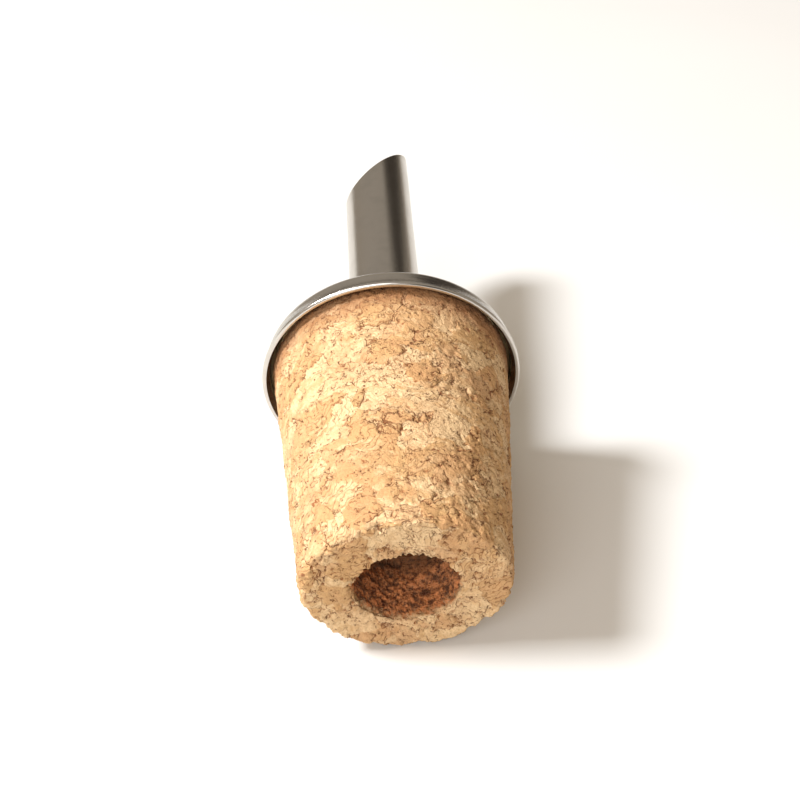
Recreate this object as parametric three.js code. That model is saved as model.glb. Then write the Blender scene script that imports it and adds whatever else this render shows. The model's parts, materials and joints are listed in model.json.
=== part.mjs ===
// A cork-stoppered liquor pour spout, lying at rest on its side.
// Units are millimetres. Each piece is turned about its own +Y axis, which runs from the small end of the
// cork to the tip of the spout, and the whole assembly is then tipped up until it rests on a table at z = 0.
import * as THREE from 'three';

// Driving dimensions. "Y" values are stations along the axis, measured from the small end of the cork.
const SEGMENTS = 24; // sides of a turned piece; each flat is wide enough for the part to rest on it
const TUBE_SEGMENTS = 48;
const CORNER_STEPS = 5; // chords in the collar's rounded corner and in the fillet's face

const CORK_END_RADIUS = 9.0;
const CORK_RIM_RADIUS = 11.6; // where the cork enters the collar
const CORK_EDGE = 0.5; // rounding of the small end
const CORK_EDGE_STEPS = 2;
const CORK_TOP_CHAMFER = 0.6;
const MOUTH_RADIUS = 4.5; // the wide bore at the small end
const MOUTH_DEPTH = 6.0;

const RIM_Y = 24.3; // front plane of the collar's skirt
const COLLAR_DEPTH = 2.75;
const COLLAR_RIM_RADIUS = 12.72; // widest point, at the back of the lip
const COLLAR_WALL_RADIUS = 12.4;
const COLLAR_CORNER = 1.2;
const BEAD_WIDTH = 0.25; // the flared lip at the free edge of the skirt
const BEAD_BLEND = 0.35;
const SHEET = 0.4;

const TUBE_RADIUS = 3.75;
const TUBE_WALL = 0.4;
const TUBE_TIP_Y = 62.5;
const BEVEL_HEIGHT = 8.8; // how much shorter the short side of the cut is
const BEVEL_DIRECTION = THREE.MathUtils.degToRad(-18); // where the long side is, from +X towards +Z

const FIT_GAP = 0.15; // radial room between the tube and what it passes through
const SEAT_GAP = 0.15; // room between faces that lie on each other
const FILLET_WIDTH = 1.1;
const FILLET_HEIGHT = 1.0;
const FILLET_EDGE = 0.05; // thickness of the fillet's feathered foot
const GLUE_THICKNESS = 0.25;

// Derived stations
const COLLAR_BACK_Y = RIM_Y + COLLAR_DEPTH;
const PLATE_Y = COLLAR_BACK_Y - SHEET; // inside face of the collar's plate
const CORK_TOP_Y = PLATE_Y - GLUE_THICKNESS - 2 * SEAT_GAP;
const CORK_SLOPE = (CORK_RIM_RADIUS - CORK_END_RADIUS) / RIM_Y;
const SLEEVE_RADIUS = TUBE_RADIUS + FIT_GAP; // holes that the tube passes through
const TUBE_SHORT_Y = TUBE_TIP_Y - BEVEL_HEIGHT; // short side of the cut
// The part lies on the lip and on the edge of the small end. The lip's face has the slope of that line, so
// that it lies flat on the table.
const REST_SLOPE = (COLLAR_RIM_RADIUS - corkRadius(CORK_EDGE)) / (RIM_Y + BEAD_WIDTH - CORK_EDGE);
const LIP_FRONT_RADIUS = COLLAR_RIM_RADIUS - REST_SLOPE * BEAD_WIDTH;

const MATERIALS = {
  cork: new THREE.MeshStandardMaterial({ color: 0xc99f6e, roughness: 0.9, metalness: 0 }),
  steel: new THREE.MeshStandardMaterial({ color: 0xb9b5ae, roughness: 0.22, metalness: 1 }),
  braze: new THREE.MeshStandardMaterial({ color: 0xa8a49c, roughness: 0.35, metalness: 1 }),
  glue: new THREE.MeshStandardMaterial({ color: 0xd9c79a, roughness: 0.4, metalness: 0 }),
};

// Points of an arc about (centreR, centreY), from one angle to another in degrees.
function arc(centreR, centreY, radius, from, to, steps) {
  return Array.from({ length: steps + 1 }, (_, i) => {
    const angle = THREE.MathUtils.degToRad(from + ((to - from) * i) / steps);
    return [centreR + radius * Math.cos(angle), centreY + radius * Math.sin(angle)];
  });
}

// A closed profile of [radius, station] pairs, turned about +Y. A flat of the polygon faces straight down,
// so that the piece rests on it without rocking.
function turned(profile, segments = SEGMENTS) {
  const points = [...profile, profile[0]].map(([r, y]) => new THREE.Vector2(r, y));
  return new THREE.LatheGeometry(points, segments, Math.PI / segments);
}

function corkRadius(y) {
  return CORK_END_RADIUS + CORK_SLOPE * y;
}

// Tapered plug with a wide mouth that narrows to the bore that grips the tube.
function corkStopper() {
  return turned([
    [CORK_END_RADIUS - CORK_EDGE, 0],
    ...arc(corkRadius(CORK_EDGE) - CORK_EDGE, CORK_EDGE, CORK_EDGE, -60, 0, CORK_EDGE_STEPS),
    [corkRadius(CORK_TOP_Y - CORK_TOP_CHAMFER), CORK_TOP_Y - CORK_TOP_CHAMFER],
    [corkRadius(CORK_TOP_Y) - CORK_TOP_CHAMFER, CORK_TOP_Y],
    [SLEEVE_RADIUS, CORK_TOP_Y],
    [SLEEVE_RADIUS, MOUTH_DEPTH],
    [MOUTH_RADIUS, MOUTH_DEPTH],
    [MOUTH_RADIUS, 0],
  ]);
}

// Pressed cup: a flat plate with a rounded corner and a short skirt that ends in a flared lip.
function collarCap() {
  const cornerR = COLLAR_WALL_RADIUS - COLLAR_CORNER;
  const cornerY = COLLAR_BACK_Y - COLLAR_CORNER;
  return turned([
    [LIP_FRONT_RADIUS, RIM_Y],
    [COLLAR_RIM_RADIUS, RIM_Y + BEAD_WIDTH],
    [COLLAR_WALL_RADIUS, RIM_Y + BEAD_WIDTH + BEAD_BLEND],
    ...arc(cornerR, cornerY, COLLAR_CORNER, 0, 90, CORNER_STEPS),
    [SLEEVE_RADIUS, COLLAR_BACK_Y],
    [SLEEVE_RADIUS, PLATE_Y],
    ...arc(cornerR, cornerY, COLLAR_CORNER - SHEET, 90, 0, CORNER_STEPS),
    [COLLAR_WALL_RADIUS - SHEET, RIM_Y + BEAD_WIDTH + BEAD_BLEND],
    [COLLAR_RIM_RADIUS - SHEET, RIM_Y + BEAD_WIDTH],
    [LIP_FRONT_RADIUS - SHEET, RIM_Y],
  ]);
}

// Straight tube, square at the end inside the cork and cut by a slanting plane at the tip.
function spoutTube() {
  const inner = TUBE_RADIUS - TUBE_WALL;
  const profile = [
    [TUBE_RADIUS, MOUTH_DEPTH],
    [TUBE_RADIUS, TUBE_TIP_Y],
    [inner, TUBE_TIP_Y],
    [inner, MOUTH_DEPTH],
  ];
  const geometry = turned(profile, TUBE_SEGMENTS);
  const position = geometry.getAttribute('position');
  for (let i = 0; i < position.count; i += 1) {
    if (position.getY(i) < TUBE_SHORT_Y) continue;
    const towardsLongSide =
      position.getX(i) * Math.cos(BEVEL_DIRECTION) + position.getZ(i) * Math.sin(BEVEL_DIRECTION);
    const share = (1 + towardsLongSide / TUBE_RADIUS) / 2; // 0 at the short side, 1 at the tip
    position.setY(i, TUBE_SHORT_Y + BEVEL_HEIGHT * share);
  }
  return geometry;
}

// Hollow-faced ring of filler metal that joins the tube to the collar's plate.
function brazeFillet() {
  const foot = COLLAR_BACK_Y + SEAT_GAP;
  const outer = SLEEVE_RADIUS + FILLET_WIDTH;
  const top = foot + FILLET_EDGE + FILLET_HEIGHT;
  const face = Array.from({ length: CORNER_STEPS + 1 }, (_, i) => {
    const angle = ((Math.PI / 2) * i) / CORNER_STEPS;
    return [outer - FILLET_WIDTH * Math.sin(angle), top - FILLET_HEIGHT * Math.cos(angle)];
  });
  return turned([[SLEEVE_RADIUS, foot], [outer, foot], ...face]);
}

// Bonding layer between the top of the cork and the inside of the collar's plate.
function glueDisc() {
  const outer = corkRadius(CORK_TOP_Y) - CORK_TOP_CHAMFER;
  const low = CORK_TOP_Y + SEAT_GAP;
  return turned([
    [outer, low],
    [outer, low + GLUE_THICKNESS],
    [SLEEVE_RADIUS, low + GLUE_THICKNESS],
    [SLEEVE_RADIUS, low],
  ]);
}

function piece(name, geometry, material) {
  const mesh = new THREE.Mesh(geometry, material);
  mesh.name = name;
  return mesh;
}

const pourer = new THREE.Group();
pourer.add(
  piece('cork_stopper', corkStopper(), MATERIALS.cork),
  piece('collar_cap', collarCap(), MATERIALS.steel),
  piece('spout_tube', spoutTube(), MATERIALS.steel),
  piece('braze_fillet', brazeFillet(), MATERIALS.braze),
  piece('glue_disc', glueDisc(), MATERIALS.glue),
);

// The assembly lies on the lip of the collar and the edge of the cork's small end, spout in the air.
const flatShare = Math.cos(Math.PI / SEGMENTS); // a flat's distance from the axis over a corner's
pourer.rotation.x = Math.atan(REST_SLOPE * flatShare);
pourer.updateMatrixWorld(true);
const bounds = new THREE.Box3().setFromObject(pourer, true);
pourer.position.set(0, -(bounds.min.y + bounds.max.y) / 2, -bounds.min.z);

const part = new THREE.Group();
part.add(pourer);

export default part;
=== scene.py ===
"""A cork pour spout lying on a pale table: fine meshes and procedural materials.

Every piece is round about the spout's own axis, so each is turned from a profile of (radius, station)
points in millimetres. A station is the distance along the axis from the cork's small end. The reach and the
stations of each piece are measured on its CAD node. The finished mesh is laid down along the axis, in metres.
"""
import json
import math

import bpy
import numpy as np
from mathutils import Matrix, Vector

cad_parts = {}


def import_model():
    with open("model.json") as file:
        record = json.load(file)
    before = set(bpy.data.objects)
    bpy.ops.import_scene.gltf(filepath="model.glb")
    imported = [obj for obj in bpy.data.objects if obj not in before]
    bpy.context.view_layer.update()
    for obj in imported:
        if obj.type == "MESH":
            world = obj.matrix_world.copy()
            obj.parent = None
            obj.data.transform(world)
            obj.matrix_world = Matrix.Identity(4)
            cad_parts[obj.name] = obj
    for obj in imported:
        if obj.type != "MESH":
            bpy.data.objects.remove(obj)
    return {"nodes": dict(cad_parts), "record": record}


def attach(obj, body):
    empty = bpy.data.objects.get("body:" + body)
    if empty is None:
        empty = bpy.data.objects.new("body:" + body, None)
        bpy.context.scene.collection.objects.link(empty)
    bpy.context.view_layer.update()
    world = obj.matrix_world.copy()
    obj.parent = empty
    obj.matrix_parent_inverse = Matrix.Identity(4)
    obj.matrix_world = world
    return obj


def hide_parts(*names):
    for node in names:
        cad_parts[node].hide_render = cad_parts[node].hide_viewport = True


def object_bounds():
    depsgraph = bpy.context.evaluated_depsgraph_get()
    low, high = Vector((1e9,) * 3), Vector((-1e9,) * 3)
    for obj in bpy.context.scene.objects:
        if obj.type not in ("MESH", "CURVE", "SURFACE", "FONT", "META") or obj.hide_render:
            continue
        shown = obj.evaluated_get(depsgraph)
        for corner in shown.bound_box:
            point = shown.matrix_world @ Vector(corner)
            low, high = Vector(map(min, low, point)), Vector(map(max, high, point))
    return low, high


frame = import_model()
cad_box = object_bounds()

MM = 0.001


# ---- The spout's axis, and sizes measured on the CAD nodes ----

def mount(name):
    return next(m for m in frame["record"]["mounts"] if m["name"] == name)


AXIS = -Vector(mount("stopper_end")["axis"]).normalized()
END_CENTRE = Vector((0.0, *mount("stopper_end")["pos_m"][1:]))
SIDE = Vector((1.0, 0.0, 0.0))
LAY_DOWN = Matrix.Translation(END_CENTRE) @ Matrix((SIDE, AXIS, SIDE.cross(AXIS))).transposed().to_4x4()


def measure(node):
    """The reach of a CAD node's lowest flat, and its lowest and highest station, in millimetres."""
    stand_up = LAY_DOWN.inverted()
    points = np.array([stand_up @ v.co for v in frame["nodes"][node].data.vertices]) / MM
    return -points[:, 2].min(), points[:, 1].min(), points[:, 1].max()


CORK_R, _, CORK_Y1 = measure("cork_stopper")
RIM_R, RIM_Y, BACK_Y = measure("collar_cap")
TUBE_R, TUBE_Y0, TUBE_Y1 = measure("spout_tube")
FILLET_R, _, FILLET_Y1 = measure("braze_fillet")
GLUE_R, GLUE_Y0, GLUE_Y1 = measure("glue_disc")

TUBE_WALL = 0.4
HOLE_R = TUBE_R + 0.02  # holes that the tube passes through
CORK_END_R = 8.93  # reach of the small end's flats
CORK_EDGE = 0.55  # rounding of the small end
CORK_TOP_CHAMFER = 0.6
MOUTH_R = 4.5  # the wide bore at the small end
CUT_DROP = 8.8  # how much shorter the short side of the slanting cut is
CUT_DIRECTION = math.radians(-18)  # where the long side is, from +X towards +Z
SHEET = 0.4  # thickness of the collar's steel

# The camera's place is measured from the centre of the cork's small end: right, along the axis and up.
CAMERA_SPOT = (-3.57, -52.59, 76.56)
CAMERA_PITCH = 45.74  # degrees below the axis
CAMERA_YAW = 3.27  # degrees to the right of it


# ---- Turned meshes ----

def arc(centre_r, centre_y, radius, start, end, steps):
    """Points of an arc from one angle to another, in degrees, with both ends."""
    angles = np.radians(np.linspace(start, end, steps + 1))
    return [(centre_r + radius * math.cos(a), centre_y + radius * math.sin(a)) for a in angles]


def finely(points, step):
    """The same outline with points no further apart than step. The last point is left out."""
    out = []
    for (r0, y0), (r1, y1) in zip(points, points[1:]):
        count = max(1, round(math.hypot(r1 - r0, y1 - y0) / step))
        out += [(r0 + (r1 - r0) * i / count, y0 + (y1 - y0) * i / count) for i in range(count)]
    return out


def turned(name, profile, segments, reshape=None):
    """A closed profile turned about the axis, running towards the tip outside and back inside.

    The attribute called place keeps each point's place about the upright axis, in millimetres.
    """
    profile = np.array(profile)
    angle = np.linspace(0, 2 * math.pi, segments, endpoint=False)
    rows = len(profile)
    points = np.empty((rows, segments, 3))
    points[..., 0] = profile[:, :1] * np.cos(angle)
    points[..., 1] = profile[:, 1:]
    points[..., 2] = profile[:, :1] * np.sin(angle)
    if reshape:
        reshape(points, angle)
    row, column = np.meshgrid(np.arange(rows), np.arange(segments), indexing="ij")
    next_row, next_column = (row + 1) % rows, (column + 1) % segments
    corners = [(row, column), (next_row, column), (next_row, next_column), (row, next_column)]
    faces = np.stack([r * segments + c for r, c in corners], -1).reshape(-1, 4)
    points = points.reshape(-1, 3)
    mesh = bpy.data.meshes.new(name)
    mesh.from_pydata((points * MM).tolist(), [], faces.tolist())
    place = mesh.attributes.new("place", "FLOAT_VECTOR", "POINT")
    place.data.foreach_set("vector", points.astype(np.float32).ravel())
    piece = bpy.data.objects.new(name, mesh)
    bpy.context.collection.objects.link(piece)
    return piece


def finish_piece(piece, surface, node, crease=None):
    """Lays a piece down, gives it its material and ties it to the frame."""
    piece.data.transform(LAY_DOWN)
    piece.data.shade_smooth()
    if crease:
        piece.data.set_sharp_from_angle(angle=math.radians(crease))
    piece.data.materials.append(surface)
    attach(piece, "root")
    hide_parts(node)


# ---- Nodes shared by reliefs and materials ----

class Pattern:
    """Adds texture and maths nodes to a material's tree or to a geometry tree."""

    def __init__(self, tree):
        self.tree = tree

    def node(self, kind, **settings):
        made = self.tree.nodes.new(kind)
        for name, value in settings.items():
            setattr(made, name, value)
        return made

    def feed(self, socket, value):
        if isinstance(value, bpy.types.NodeSocket):
            self.tree.links.new(value, socket)
        else:
            socket.default_value = value

    def maths(self, operation, *values):
        made = self.node("ShaderNodeMath", operation=operation)
        for socket, value in zip(made.inputs, values):
            self.feed(socket, value)
        return made.outputs[0]

    def add(self, *values):
        total = values[0]
        for value in values[1:]:
            total = self.maths("ADD", total, value)
        return total

    def times(self, *values):
        product = values[0]
        for value in values[1:]:
            product = self.maths("MULTIPLY", product, value)
        return product

    def centred(self, value, spread=1.0):
        """A value from 0 to 1, as an offset either side of nothing."""
        return self.times(self.maths("SUBTRACT", value, 0.5), spread)

    def invert(self, value):
        return self.maths("SUBTRACT", 1.0, value)

    def vector(self, operation, a, b=(0, 0, 0), out=0):
        made = self.node("ShaderNodeVectorMath", operation=operation)
        self.feed(made.inputs[0], a)
        self.feed(made.inputs[1], b)
        return made.outputs[out]

    def dot(self, a, b):
        return self.vector("DOT_PRODUCT", a, b, out=1)

    def parts(self, vector):
        made = self.node("ShaderNodeSeparateXYZ")
        self.feed(made.inputs[0], vector)
        return made.outputs[0], made.outputs[1], made.outputs[2]

    def step(self, value, low, high):
        """0 below low, 1 above high, smooth between; low may be the larger."""
        made = self.node("ShaderNodeMapRange", interpolation_type="SMOOTHSTEP")
        flip = low > high
        self.feed(made.inputs["Value"], value)
        made.inputs["From Min"].default_value = min(low, high)
        made.inputs["From Max"].default_value = max(low, high)
        made.inputs["To Min"].default_value = 1.0 if flip else 0.0
        made.inputs["To Max"].default_value = 0.0 if flip else 1.0
        return made.outputs[0]

    def noise(self, place, size, detail=2.0, roughness=0.5, colour=False):
        """Noise whose blobs are about size millimetres across."""
        made = self.node("ShaderNodeTexNoise")
        self.feed(made.inputs["Vector"], place)
        made.inputs["Scale"].default_value = 1 / size
        made.inputs["Detail"].default_value = detail
        made.inputs["Roughness"].default_value = roughness
        return made.outputs[1 if colour else 0]

    def cells(self, place, size, edges=False):
        """Cells about size millimetres across.

        Gives the distance and random colour of the nearest one, or with edges the distance to its border.
        """
        made = self.node("ShaderNodeTexVoronoi", feature="DISTANCE_TO_EDGE" if edges else "F1")
        self.feed(made.inputs["Vector"], place)
        made.inputs["Scale"].default_value = 1 / size
        distance = self.times(made.outputs["Distance"], size)
        return distance if edges else (distance, made.outputs["Color"])

    def mix(self, share, a, b):
        made = self.node("ShaderNodeMix", data_type="RGBA")
        self.feed(made.inputs[0], share)
        self.feed(made.inputs[6], a)
        self.feed(made.inputs[7], b)
        return made.outputs[2]


# ---- Cork ----

GRANULE = 3.1  # a large granule, in millimetres
CRUMB = 1.25  # the small ones between them
LINE_SPACING = 0.50  # growth lines in a granule
FAR = 9.0  # a distance that no gap reaches


def cork_pattern(p, place):
    """What pressed cork granules look like at a place in millimetres.

    Gives masks from 0 to 1: fissure, crack, pit and pinhole (open gaps), lines (growth lines) and crumbly
    (small granules). Also random vectors of the granule and the crumb, and the torn and flake noises.
    """
    wander = p.vector("SUBTRACT", p.noise(place, 2.4, 2, colour=True), (0.5, 0.5, 0.5))
    tremble = p.vector("SUBTRACT", p.noise(place, 0.5, 3, 0.6, colour=True), (0.5, 0.5, 0.5))
    bent = p.vector("ADD", place, p.vector("MULTIPLY", wander, (2.6, 2.2, 2.6)))
    bent = p.vector("ADD", bent, p.vector("MULTIPLY", tremble, (0.55, 0.55, 0.55)))
    flat = p.vector("MULTIPLY", bent, (1.0, 1.35, 1.0))

    _, granule = p.cells(flat, GRANULE)
    granule_edge = p.cells(flat, GRANULE, edges=True)
    _, crumb = p.cells(flat, CRUMB)
    crumb_edge = p.cells(flat, CRUMB, edges=True)
    kind, lined, tint = p.parts(granule)
    crumbly = p.step(kind, 0.48, 0.56)

    seam = p.maths("MINIMUM", granule_edge, p.add(crumb_edge, p.times(p.invert(crumbly), FAR)))
    opened = p.step(p.noise(place, 1.3, 3, 0.6), 0.49, 0.60)
    fissure = p.times(p.step(seam, 0.08, 0.0), opened)

    torn = p.noise(p.vector("MULTIPLY", bent, (1.0, 2.2, 1.0)), 0.62, 3, 0.6)
    near_seam = p.step(granule_edge, 0.7, 0.1)
    looseness = p.maths("MAXIMUM", p.times(crumbly, 0.8), near_seam)
    pit = p.times(p.step(torn, 0.60, 0.68), looseness)

    hole, pick = p.cells(place, 0.55)
    chosen = p.step(p.parts(pick)[0], 0.62, 0.64)
    pinhole = p.times(p.step(hole, 0.13, 0.04), chosen)

    flake = p.noise(p.vector("MULTIPLY", bent, (1.0, 2.4, 1.0)), 1.5, 3, 0.6)
    ridge = p.maths("ABSOLUTE", p.centred(flake))
    crack = p.times(p.step(ridge, 0.014, 0.003), p.step(p.noise(place, 0.8, 2), 0.48, 0.56))

    direction = p.vector("NORMALIZE", p.vector("SUBTRACT", granule, (0.5, 0.5, 0.5)))
    across = p.add(p.dot(bent, direction), p.times(p.noise(place, 1.3, 1), 1.6))
    phase = p.maths("PINGPONG", across, LINE_SPACING / 2)
    lines = p.times(p.step(phase, 0.07, 0.0), p.step(lined, 0.35, 0.55), p.invert(crumbly))
    return {
        "fissure": fissure, "pit": pit, "pinhole": pinhole, "lines": lines, "crumbly": crumbly,
        "granule": granule, "crumb": crumb, "tint": tint, "torn": torn, "crack": crack, "flake": flake,
    }


def cork_relief(p, place, c):
    """Height in millimetres that the mesh takes: steps between granules, gaps and broken edges."""
    station = p.parts(place)[1]
    radius = radius_of(p, place)
    level = p.centred(p.parts(c["granule"])[2])
    small_level = p.times(p.centred(p.parts(c["crumb"])[0]), c["crumbly"])
    face = p.times(p.step(station, 1.0, 0.2), p.step(station, -1.0, -0.5))
    worn = p.step(station, 1.4, 0.0)
    rim = p.times(worn, p.step(radius, 8.0, 8.8))
    lip = p.times(worn, p.step(radius, 5.2, 4.6))
    chip = p.times(p.step(p.noise(place, 1.9, 3, 0.6), 0.50, 0.70), p.maths("MAXIMUM", rim, lip))
    lump = p.centred(p.noise(place, 2.2, 4, 0.55))
    fray = p.centred(p.noise(place, 0.7, 3, 0.6))
    hidden = p.step(radius, 4.1, 4.0)
    height = p.add(
        p.times(level, 0.15),
        p.times(small_level, 0.10),
        p.times(lump, p.add(0.24, p.times(face, 0.40))),
        p.times(fray, p.add(0.26, p.times(worn, 0.45), p.times(p.step(radius, 4.9, 4.7), 0.4))),
        p.centred(p.maths("FRACT", p.times(c["flake"], 7.0)), 0.07),
        p.times(c["fissure"], -0.18),
        p.times(c["crack"], -0.10),
        p.times(c["pit"], p.add(-0.26, p.times(face, -0.14))),
        p.times(chip, -0.38),
        -0.05,
    )
    return p.times(height, p.invert(hidden))


def carve(piece, name, pattern):
    """Moves a piece's points along their normals by pattern(p, place), in millimetres, and keeps that."""
    tree = bpy.data.node_groups.new(name, "GeometryNodeTree")
    tree.interface.new_socket("Geometry", in_out="INPUT", socket_type="NodeSocketGeometry")
    tree.interface.new_socket("Geometry", in_out="OUTPUT", socket_type="NodeSocketGeometry")
    p = Pattern(tree)
    start, end = p.node("NodeGroupInput"), p.node("NodeGroupOutput")
    place = p.node("GeometryNodeInputNamedAttribute", data_type="FLOAT_VECTOR")
    place.inputs["Name"].default_value = "place"
    height = pattern(p, place.outputs[0])
    scaled = p.node("ShaderNodeVectorMath", operation="SCALE")
    p.feed(scaled.inputs[0], p.node("GeometryNodeInputNormal").outputs[0])
    p.feed(scaled.inputs["Scale"], p.times(height, MM))
    move = p.node("GeometryNodeSetPosition")
    p.feed(move.inputs["Geometry"], start.outputs[0])
    p.feed(move.inputs["Offset"], scaled.outputs[0])
    p.feed(end.inputs[0], move.outputs[0])
    modifier = piece.modifiers.new(name, "NODES")
    modifier.node_group = tree
    shaped = bpy.data.meshes.new_from_object(piece.evaluated_get(bpy.context.evaluated_depsgraph_get()))
    piece.modifiers.clear()
    piece.data = shaped


def material(name):
    made = bpy.data.materials.new(name)
    made.use_nodes = True
    return made, Pattern(made.node_tree), made.node_tree.nodes["Principled BSDF"]


def place_of(p):
    return p.node("ShaderNodeAttribute", attribute_name="place").outputs["Vector"]


def radius_of(p, place):
    x, _, z = p.parts(place)
    return p.maths("SQRT", p.add(p.times(x, x), p.times(z, z)))


def cork_colour(p, place, c, grain):
    """Pale and tan granules, rosy crumbs between them, and dark gaps."""
    pale, tan, rosy = (0.74, 0.53, 0.30, 1), (0.57, 0.345, 0.155, 1), (0.55, 0.30, 0.135, 1)
    colour = p.mix(p.step(p.add(c["tint"], p.centred(c["flake"], 1.6)), 0.2, 0.8), pale, tan)
    shade = p.parts(c["crumb"])[1]
    colour = p.mix(p.times(c["crumbly"], p.step(shade, 0.1, 0.9), 0.6), colour, rosy)
    colour = p.mix(p.times(p.step(grain, 0.42, 0.66), 0.35), colour, (0.42, 0.22, 0.10, 1))
    mottle = p.step(p.noise(place, 5.0, 2), 0.45, 0.62)
    colour = p.mix(p.times(mottle, 0.3), colour, (0.52, 0.30, 0.15, 1))
    marks = (
        (c["lines"], 0.8, (0.28, 0.12, 0.045, 1)),
        (c["crack"], 0.9, (0.17, 0.05, 0.013, 1)),
        (c["fissure"], 0.9, (0.16, 0.045, 0.012, 1)),
        (c["pit"], 0.85, (0.26, 0.08, 0.022, 1)),
        (c["pinhole"], 0.8, (0.15, 0.05, 0.016, 1)),
        (p.step(p.noise(place, 1.5, 2), 0.70, 0.76), 0.75, (0.22, 0.06, 0.022, 1)),
    )
    for mask, strength, dark in marks:
        colour = p.mix(p.times(mask, strength), colour, dark)
    return colour


def mouth_colour_and_painted_shade(p, place, colour):
    """Painted shadow of the collar: a brown band on the cork under its lip. Inside the mouth, red-brown that
    is partly the cork's own colour and partly painted shade, with painted shade growing darker towards its
    floor.
    """
    station = p.parts(place)[1]
    # Painted shadow of the collar on the cork: brown just below the lip, with a wavering edge.
    shadow_edge_wobble = p.centred(p.noise(place, 1.0, 3, 0.6), 2.4)
    under = p.step(p.add(station, shadow_edge_wobble), RIM_Y - 2.4, RIM_Y - 0.1)
    colour = p.mix(p.times(under, 0.7), colour, (0.26, 0.105, 0.04, 1))

    # Inside the mouth: red-brown clumps, partly the cork's own colour and partly painted shade of the bore.
    depth = p.add(station, p.centred(p.noise(place, 1.1, 3, 0.65), 2.6))
    inside = p.times(p.step(radius_of(p, place), MOUTH_R + 0.45, MOUTH_R + 0.2), p.step(depth, 0.1, 1.1))
    clump = p.step(p.noise(place, 0.55, 3, 0.7), 0.38, 0.62)
    wall = p.mix(clump, (0.09, 0.018, 0.005, 1), (0.66, 0.235, 0.08, 1))
    # Painted shade: the mouth's wall turns near black towards its floor.
    wall = p.mix(p.times(p.step(depth, 4.0, 6.2), 0.7), wall, (0.03, 0.010, 0.005, 1))
    return p.mix(p.times(inside, 0.88), colour, wall)


def bump(p, shader, height):
    """Feeds a height in millimetres to a shader's normal."""
    made = p.node("ShaderNodeBump")
    made.inputs["Distance"].default_value = MM
    p.feed(made.inputs["Height"], height)
    p.feed(shader.inputs["Normal"], made.outputs[0])


def cork_material():
    made, p, shader = material("cork")
    place = place_of(p)
    c = cork_pattern(p, place)
    grain = p.noise(place, 0.22, 3, 0.65)
    p.feed(shader.inputs["Base Color"], mouth_colour_and_painted_shade(p, place, cork_colour(p, place, c, grain)))
    p.feed(shader.inputs["Roughness"], p.add(0.72, p.times(grain, 0.25)))
    shader.inputs["Specular IOR Level"].default_value = 0.35
    bump(p, shader, p.add(
        p.times(c["fissure"], -0.05),
        p.times(c["crack"], -0.07),
        p.times(c["lines"], -0.025),
        p.times(c["pinhole"], -0.07),
        p.times(grain, 0.12),
        p.times(c["torn"], 0.16),
    ))
    return made


def cork():
    """Tapered plug, finely meshed where it is seen and coarsely inside the collar."""
    def side_r(station):
        return CORK_END_R + (CORK_R - CORK_END_R) * station / CORK_Y1

    fine, coarse = 0.16, 1.2
    lip = 0.2
    visible = (
        arc(MOUTH_R + lip, lip, lip, 180, 270, 3)
        + arc(side_r(CORK_EDGE) - CORK_EDGE, CORK_EDGE, CORK_EDGE, -90, 0, 6)
        + [(side_r(RIM_Y + 0.5), RIM_Y + 0.5)]
    )
    hidden = [
        visible[-1],
        (side_r(CORK_Y1 - CORK_TOP_CHAMFER), CORK_Y1 - CORK_TOP_CHAMFER),
        (side_r(CORK_Y1) - CORK_TOP_CHAMFER, CORK_Y1),
        (HOLE_R, CORK_Y1),
        (HOLE_R, TUBE_Y0),
    ]
    mouth = [(HOLE_R, TUBE_Y0), (MOUTH_R, TUBE_Y0), (MOUTH_R, lip)]
    profile = finely(visible, fine) + finely(hidden, coarse) + finely(mouth, fine)
    piece = turned("cork_stopper_body", profile, 384)
    carve(piece, "cork_relief", lambda p, place: cork_relief(p, place, cork_pattern(p, place)))
    finish_piece(piece, cork_material(), "cork_stopper")


# ---- Steel ----

def steel_material(name, tone, roughness, scratch):
    """Brushed steel with faint smudges. The scratches' depth is in millimetres."""
    made, p, shader = material(name)
    place = place_of(p)
    brushed = p.noise(p.vector("MULTIPLY", place, (0.6, 9.0, 0.6)), 1.0, 4, 0.7)
    smudge = p.noise(place, 3.0, 3, 0.6)
    dark = tuple(0.86 * v for v in tone[:3]) + (1,)
    p.feed(shader.inputs["Base Color"], p.mix(p.times(p.step(smudge, 0.4, 0.7), 0.6), tone, dark))
    shader.inputs["Metallic"].default_value = 1.0
    p.feed(shader.inputs["Roughness"], p.add(roughness, p.times(smudge, 0.10), p.times(brushed, 0.06)))
    bump(p, shader, p.times(brushed, scratch))
    return made


def collar():
    """Pressed cup with a rounded corner and a lip."""
    wall_r = RIM_R - 0.32
    corner = 1.2
    bead = 0.26  # rounding of the lip
    corner_r, corner_y = wall_r - corner, BACK_Y - corner
    profile = (
        arc(RIM_R - bead, RIM_Y + bead, bead, -90, 55, 16)
        + [(wall_r, RIM_Y + 0.65)]
        + arc(corner_r, corner_y, corner, 0, 90, 14)
        + [(HOLE_R, BACK_Y), (HOLE_R, BACK_Y - SHEET)]
        + arc(corner_r, corner_y, corner - SHEET, 90, 0, 10)
        + [(wall_r - SHEET, RIM_Y + 0.65), (RIM_R - SHEET, RIM_Y + 0.35), (RIM_R - SHEET, RIM_Y)]
    )
    piece = turned("collar_cap_shell", profile, 256)
    steel = steel_material("collar_steel", (0.62, 0.585, 0.54, 1), 0.14, 0.012)
    finish_piece(piece, steel, "collar_cap", crease=50)


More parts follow.
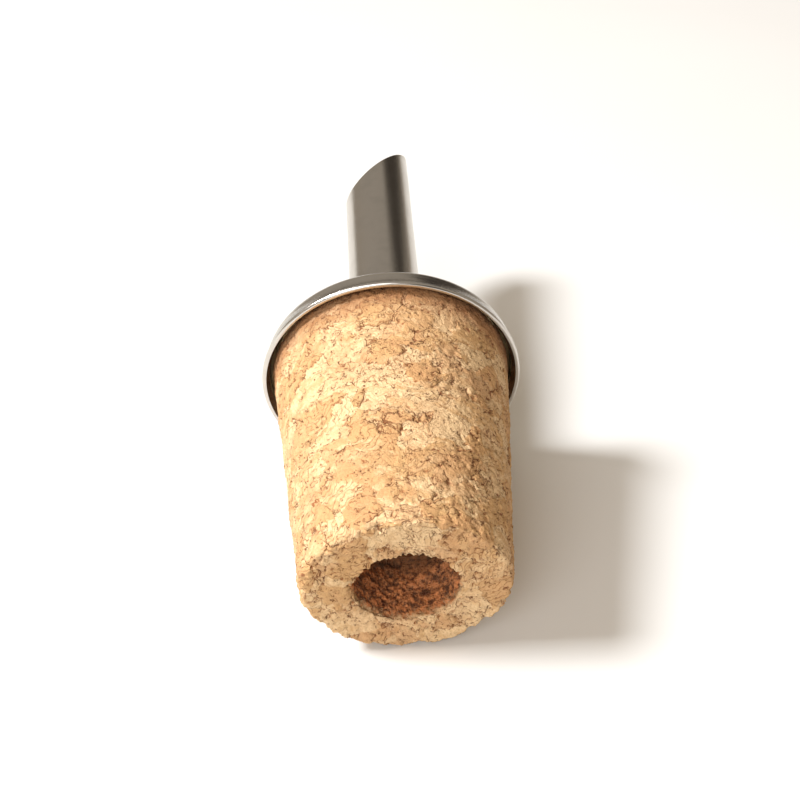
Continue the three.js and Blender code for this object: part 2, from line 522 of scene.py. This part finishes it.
def tube():
    """Straight tube with a slanting cut at its free end."""
    short_y = TUBE_Y1 - CUT_DROP
    burr = 0.08
    inner = TUBE_R - TUBE_WALL
    rows = np.linspace(TUBE_Y0, short_y - 2.0, 16)
    outside = [(TUBE_R, y) for y in rows]
    inside = [(inner, y) for y in rows[::-1]]
    profile = (
        outside
        + [(TUBE_R, TUBE_Y1 - burr), (TUBE_R - burr, TUBE_Y1)]
        + [(inner + burr, TUBE_Y1), (inner, TUBE_Y1 - burr)]
        + inside
    )

    def cut(points, angle):
        """Shears the free end so that it lies on the slanting plane."""
        towards = (1 + np.cos(angle - CUT_DIRECTION)) / 2
        free = points[:, 0, 1] > short_y
        points[free, :, 1] -= CUT_DROP * (1 - towards)

    piece = turned("spout_tube_wall", profile, 192, cut)
    steel = steel_material("tube_steel", (0.60, 0.565, 0.52, 1), 0.12, 0.010)
    finish_piece(piece, steel, "spout_tube", crease=30)


def fillet():
    """Hollow-faced ring of filler metal, slightly uneven."""
    width = FILLET_R - TUBE_R - 0.03
    height = FILLET_Y1 - BACK_Y - 0.05
    face = [
        (FILLET_R - width * math.sin(a), BACK_Y + 0.02 + height * (1 - math.cos(a)))
        for a in np.linspace(0, math.pi / 2, 13)
    ]
    profile = [(TUBE_R + 0.01, BACK_Y - 0.01), (FILLET_R, BACK_Y - 0.01)] + face
    piece = turned("braze_fillet_ring", profile, 160)
    carve(piece, "braze_relief", lambda p, place: p.centred(p.noise(place, 1.4, 2), 0.16))
    filler = steel_material("braze_metal", (0.56, 0.52, 0.45, 1), 0.30, 0.03)
    finish_piece(piece, filler, "braze_fillet")


def glue():
    """Layer of glue with a bulging rim."""
    low, high = GLUE_Y0 - 0.1, GLUE_Y1 + 0.1
    bulge = (high - low) / 2
    profile = (
        arc(GLUE_R, low + bulge, bulge, -90, 90, 6)
        + [(HOLE_R, high), (HOLE_R, low)]
    )
    piece = turned("glue_disc_layer", finely(profile + profile[:1], 0.6), 160)
    made, p, shader = material("glue")
    cloud = p.noise(place_of(p), 2.0, 3)
    p.feed(shader.inputs["Base Color"], p.mix(cloud, (0.66, 0.50, 0.24, 1), (0.80, 0.68, 0.42, 1)))
    p.feed(shader.inputs["Roughness"], p.add(0.3, p.times(cloud, 0.3)))
    finish_piece(piece, made, "glue_disc")


# ---- Table, light and camera ----

def table_top():
    """A round pale table."""
    radius, sides = 0.55, 96
    turns = [2 * math.pi * i / sides for i in range(sides)]
    mesh = bpy.data.meshes.new("table_top")
    mesh.from_pydata([(radius * math.cos(t), radius * math.sin(t), 0) for t in turns], [], [range(sides)])
    floor = bpy.data.objects.new("table_top", mesh)
    bpy.context.collection.objects.link(floor)
    made, p, shader = material("table")
    cloud = p.noise(p.node("ShaderNodeTexCoord").outputs["Object"], 0.05, 3)
    p.feed(shader.inputs["Base Color"], p.mix(cloud, (0.70, 0.708, 0.71, 1), (0.725, 0.733, 0.735, 1)))
    p.feed(shader.inputs["Roughness"], p.add(0.42, p.times(cloud, 0.08)))
    mesh.materials.append(made)


def area_light(name, direction, target, distance, size, power):
    """A round lamp that shines at the target from a direction. Lengths are in metres, power in watts."""
    lamp = bpy.data.lights.new(name, "AREA")
    lamp.shape = "DISK"
    lamp.size = size
    lamp.energy = power
    holder = bpy.data.objects.new(name, lamp)
    bpy.context.collection.objects.link(holder)
    away = Vector(direction).normalized()
    holder.location = target + away * distance
    holder.rotation_mode = "QUATERNION"
    holder.rotation_quaternion = away.to_track_quat("Z", "Y")


def lights():
    """A window on the left, and a broad soft light from the front."""
    target = (cad_box[0] + cad_box[1]) / 2
    area_light("window", (-0.70, -0.05, 0.72), target, distance=1.0, size=0.26, power=15.5)
    area_light("front", (-0.30, -0.75, 0.58), target, distance=1.1, size=0.8, power=7.3)


def world():
    """A dim room with a dark stripe on the right, which the steel reflects.

    Its soft light is warm, and behind the table the camera sees a plain pale backdrop.
    """
    made = bpy.data.worlds.new("room")
    bpy.context.scene.world = made
    made.use_nodes = True
    p = Pattern(made.node_tree)
    background = made.node_tree.nodes["Background"]
    direction = p.node("ShaderNodeTexCoord").outputs["Generated"]
    x, _, z = p.parts(direction)
    colour = p.mix(p.step(z, -0.1, 0.9), (0.36, 0.31, 0.25, 1), (0.39, 0.35, 0.30, 1))
    across = p.times(p.step(x, 0.19, 0.26), p.step(x, 0.66, 0.58))
    dark = p.times(across, p.step(z, 0.02, 0.10), p.step(z, 0.70, 0.60))
    colour = p.mix(dark, colour, (0.055, 0.045, 0.036, 1))
    ray = p.node("ShaderNodeLightPath").outputs
    colour = p.mix(ray["Is Diffuse Ray"], colour, (0.43, 0.33, 0.22, 1))
    p.feed(background.inputs["Color"], p.mix(ray["Is Camera Ray"], colour, (0.80, 0.80, 0.79, 1)))
    background.inputs["Strength"].default_value = 1.0


def camera():
    """Stands off the cork's small end, looking down along the spout."""
    lens = bpy.data.cameras.new("view")
    lens.sensor_width = 36.0
    lens.lens = 49.8
    lens.clip_start, lens.clip_end = 0.001, 10.0
    holder = bpy.data.objects.new("view", lens)
    bpy.context.collection.objects.link(holder)
    bpy.context.scene.camera = holder
    pitch, yaw = math.radians(CAMERA_PITCH), math.radians(CAMERA_YAW)
    forward = Vector((
        math.sin(yaw) * math.cos(pitch), math.cos(yaw) * math.cos(pitch), -math.sin(pitch),
    ))
    right = Vector((math.cos(yaw), -math.sin(yaw), 0.0))
    upright = Matrix((right, right.cross(forward), -forward)).transposed().to_4x4()
    stand_up = LAY_DOWN.to_3x3().to_4x4()
    spot = Vector(CAMERA_SPOT) * MM
    holder.matrix_world = Matrix.Translation(END_CENTRE) @ stand_up @ Matrix.Translation(spot) @ upright


cork()
collar()
tube()
fillet()
glue()
table_top()
world()
lights()
camera()
bpy.context.scene.view_settings.view_transform = "Standard"
